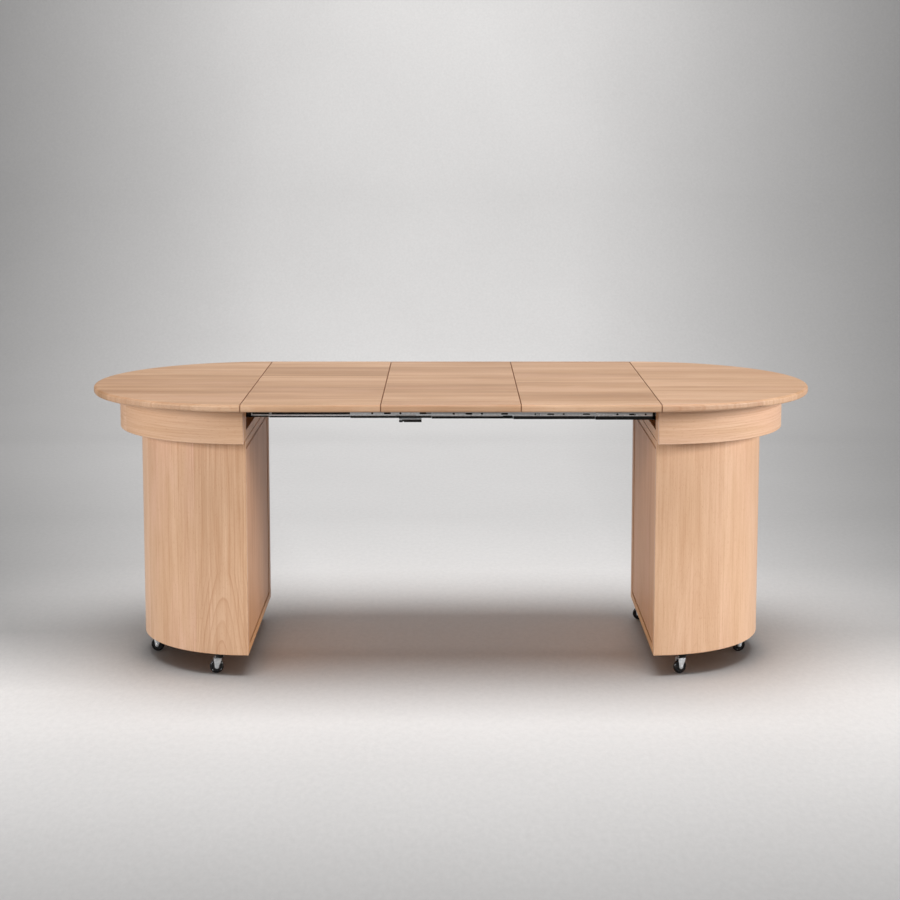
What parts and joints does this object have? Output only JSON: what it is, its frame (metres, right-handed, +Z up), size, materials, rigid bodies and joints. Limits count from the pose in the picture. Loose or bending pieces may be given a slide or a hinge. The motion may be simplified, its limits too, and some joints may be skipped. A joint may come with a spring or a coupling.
{
  "type": "extension table",
  "caption": "Split-top pedestal table shown extended: half-round ends on casters, loose leaves between them on telescoping slides.",
  "frame": {"origin": "on the floor, under the middle of the table top", "axes": "+X along the table's length towards the right end, -Y the front, +Z up"},
  "size_m": [2.0148, 0.915, 0.77],
  "materials": {
    "top_wood": "clear satin lacquer on beech, grain along the table",
    "apron_wood": "clear satin lacquer on beech, grain running round the apron",
    "pedestal_wood": "clear satin lacquer on beech, upright grain",
    "panel_wood": "clear satin lacquer on beech, upright grain",
    "frame_wood": "thin lacquer on beech",
    "batten_wood": "thin lacquer on beech",
    "slide_steel": "bright zinc plate on rolled steel",
    "screw_steel": "zinc plate",
    "lock_steel": "zinc plate on pressed steel",
    "lock_black": "satin black paint",
    "lock_rubber": "soft black pad",
    "caster_plate_steel": "zinc plate on pressed steel",
    "caster_zinc": "bright plate on pressed steel",
    "wheel_nylon": "moulded black nylon"
  },
  "bodies": {
    "left_end": {"left_apron_base": "frame_wood", "left_apron_end_blocks": "apron_wood", "left_apron_shell": "apron_wood", "left_caster_plates": "caster_plate_steel", "left_cross_rail": "frame_wood", "left_half_top": "top_wood", "left_pedestal_base": "pedestal_wood", "left_pedestal_panel": "panel_wood", "left_pedestal_shell": "pedestal_wood", "left_pedestal_stiles": "pedestal_wood", "left_pedestal_top_board": "frame_wood", "left_screws": "screw_steel", "left_slide_bearers": "frame_wood", "slide_member_1": "slide_steel"},
    "right_end": {"right_apron_base": "frame_wood", "right_apron_end_blocks": "apron_wood", "right_apron_shell": "apron_wood", "right_caster_plates": "caster_plate_steel", "right_cross_rail": "frame_wood", "right_half_top": "top_wood", "right_pedestal_base": "pedestal_wood", "right_pedestal_panel": "panel_wood", "right_pedestal_shell": "pedestal_wood", "right_pedestal_stiles": "pedestal_wood", "right_pedestal_top_board": "frame_wood", "right_screws": "screw_steel", "right_slide_bearers": "frame_wood", "slide_member_6": "slide_steel"},
    "slide_2": {"slide_member_2": "slide_steel"},
    "slide_3": {"slide_member_3": "slide_steel", "lock_bracket": "lock_steel"},
    "slide_4": {"slide_member_4": "slide_steel"},
    "slide_5": {"slide_member_5": "slide_steel"},
    "lock": {"lock_lever": "lock_black", "lock_grip": "lock_rubber"},
    "leaf_1": {"leaf_1": "top_wood", "leaf_battens_1": "batten_wood"},
    "leaf_2": {"leaf_2": "top_wood", "leaf_battens_2": "batten_wood"},
    "leaf_3": {"leaf_3": "top_wood", "leaf_battens_3": "batten_wood"},
    "left_front_swivel": {"left_front_fork": "caster_zinc"},
    "left_front_wheel": {"left_front_wheel": "wheel_nylon"},
    "left_back_swivel": {"left_back_fork": "caster_zinc"},
    "left_back_wheel": {"left_back_wheel": "wheel_nylon"},
    "left_outer_front_swivel": {"left_outer_front_fork": "caster_zinc"},
    "left_outer_front_wheel": {"left_outer_front_wheel": "wheel_nylon"},
    "left_outer_back_swivel": {"left_outer_back_fork": "caster_zinc"},
    "left_outer_back_wheel": {"left_outer_back_wheel": "wheel_nylon"},
    "right_front_swivel": {"right_front_fork": "caster_zinc"},
    "right_front_wheel": {"right_front_wheel": "wheel_nylon"},
    "right_back_swivel": {"right_back_fork": "caster_zinc"},
    "right_back_wheel": {"right_back_wheel": "wheel_nylon"},
    "right_outer_front_swivel": {"right_outer_front_fork": "caster_zinc"},
    "right_outer_front_wheel": {"right_outer_front_wheel": "wheel_nylon"},
    "right_outer_back_swivel": {"right_outer_back_fork": "caster_zinc"},
    "right_outer_back_wheel": {"right_outer_back_wheel": "wheel_nylon"}
  },
  "joints": [
    {"name": "extension", "type": "slide", "parent": "left_end", "child": "right_end", "axis": [1, 0, 0], "range_m": [0, 0.05]},
    {"name": "slide_2_travel", "type": "slide", "parent": "left_end", "child": "slide_2", "axis": [1, 0, 0], "range_m": [0, 0.01]},
    {"name": "slide_3_travel", "type": "slide", "parent": "left_end", "child": "slide_3", "axis": [1, 0, 0], "range_m": [0, 0.02]},
    {"name": "slide_4_travel", "type": "slide", "parent": "left_end", "child": "slide_4", "axis": [1, 0, 0], "range_m": [0, 0.03]},
    {"name": "slide_5_travel", "type": "slide", "parent": "left_end", "child": "slide_5", "axis": [1, 0, 0], "range_m": [0, 0.04]},
    {"name": "lock_tilt", "type": "hinge", "parent": "slide_3", "child": "lock", "pos_m": [-0.1355, -0.2711, 0.70025], "axis": [0, 1, 0], "range_deg": [0, 20], "stiffness_Nm_per_rad": 0.3, "springref_deg": -17.19},
    {"name": "leaf_1_lift", "type": "slide", "parent": "left_end", "child": "leaf_1", "axis": [0, 0, 1], "range_m": [0, 0.3]},
    {"name": "leaf_2_lift", "type": "slide", "parent": "left_end", "child": "leaf_2", "axis": [0, 0, 1], "range_m": [0, 0.3]},
    {"name": "leaf_3_lift", "type": "slide", "parent": "left_end", "child": "leaf_3", "axis": [0, 0, 1], "range_m": [0, 0.3]},
    {"name": "left_front_swivel", "type": "hinge", "parent": "left_end", "child": "left_front_swivel", "pos_m": [-0.635, -0.27414, 0.05], "axis": [0, 0, 1], "continuous": true},
    {"name": "left_front_roll", "type": "hinge", "parent": "left_front_swivel", "child": "left_front_wheel", "pos_m": [-0.64288, -0.27553, 0.019], "axis": [0.1736, -0.9848, 0], "continuous": true},
    {"name": "left_back_swivel", "type": "hinge", "parent": "left_end", "child": "left_back_swivel", "pos_m": [-0.58, 0.28455, 0.05], "axis": [0, 0, 1], "continuous": true},
    {"name": "left_back_roll", "type": "hinge", "parent": "left_back_swivel", "child": "left_back_wheel", "pos_m": [-0.58725, 0.28793, 0.019], "axis": [-0.4226, -0.9063, 0], "continuous": true},
    {"name": "left_outer_front_swivel", "type": "hinge", "parent": "left_end", "child": "left_outer_front_swivel", "pos_m": [-0.83026, -0.05702, 0.05], "axis": [0, 0, 1], "continuous": true},
    {"name": "left_outer_front_roll", "type": "hinge", "parent": "left_outer_front_swivel", "child": "left_outer_front_wheel", "pos_m": [-0.83814, -0.05563, 0.019], "axis": [-0.1736, -0.9848, 0], "continuous": true},
    {"name": "left_outer_back_swivel", "type": "hinge", "parent": "left_end", "child": "left_outer_back_swivel", "pos_m": [-0.83026, 0.05702, 0.05], "axis": [0, 0, 1], "continuous": true},
    {"name": "left_outer_back_roll", "type": "hinge", "parent": "left_outer_back_swivel", "child": "left_outer_back_wheel", "pos_m": [-0.83778, 0.05428, 0.019], "axis": [0.342, -0.9397, 0], "continuous": true},
    {"name": "right_front_swivel", "type": "hinge", "parent": "right_end", "child": "right_front_swivel", "pos_m": [0.635, -0.27414, 0.05], "axis": [0, 0, 1], "continuous": true},
    {"name": "right_front_roll", "type": "hinge", "parent": "right_front_swivel", "child": "right_front_wheel", "pos_m": [0.62775, -0.27752, 0.019], "axis": [0.4226, -0.9063, 0], "continuous": true},
    {"name": "right_back_swivel", "type": "hinge", "parent": "right_end", "child": "right_back_swivel", "pos_m": [0.58, 0.28455, 0.05], "axis": [0, 0, 1], "continuous": true},
    {"name": "right_back_roll", "type": "hinge", "parent": "right_back_swivel", "child": "right_back_wheel", "pos_m": [0.57227, 0.28662, 0.019], "axis": [-0.2588, -0.9659, 0], "continuous": true},
    {"name": "right_outer_front_swivel", "type": "hinge", "parent": "right_end", "child": "right_outer_front_swivel", "pos_m": [0.83026, -0.05702, 0.05], "axis": [0, 0, 1], "continuous": true},
    {"name": "right_outer_front_roll", "type": "hinge", "parent": "right_outer_front_swivel", "child": "right_outer_front_wheel", "pos_m": [0.82253, -0.05909, 0.019], "axis": [0.2588, -0.9659, 0], "continuous": true},
    {"name": "right_outer_back_swivel", "type": "hinge", "parent": "right_end", "child": "right_outer_back_swivel", "pos_m": [0.83026, 0.05702, 0.05], "axis": [0, 0, 1], "continuous": true},
    {"name": "right_outer_back_roll", "type": "hinge", "parent": "right_outer_back_swivel", "child": "right_outer_back_wheel", "pos_m": [0.83778, 0.05428, 0.019], "axis": [0.342, 0.9397, 0], "continuous": true}
  ],
  "couplings": [
    {"joint": "slide_2_travel", "follows": "extension", "ratio": 0.2},
    {"joint": "slide_3_travel", "follows": "extension", "ratio": 0.4},
    {"joint": "slide_4_travel", "follows": "extension", "ratio": 0.6},
    {"joint": "slide_5_travel", "follows": "extension", "ratio": 0.8}
  ]
}
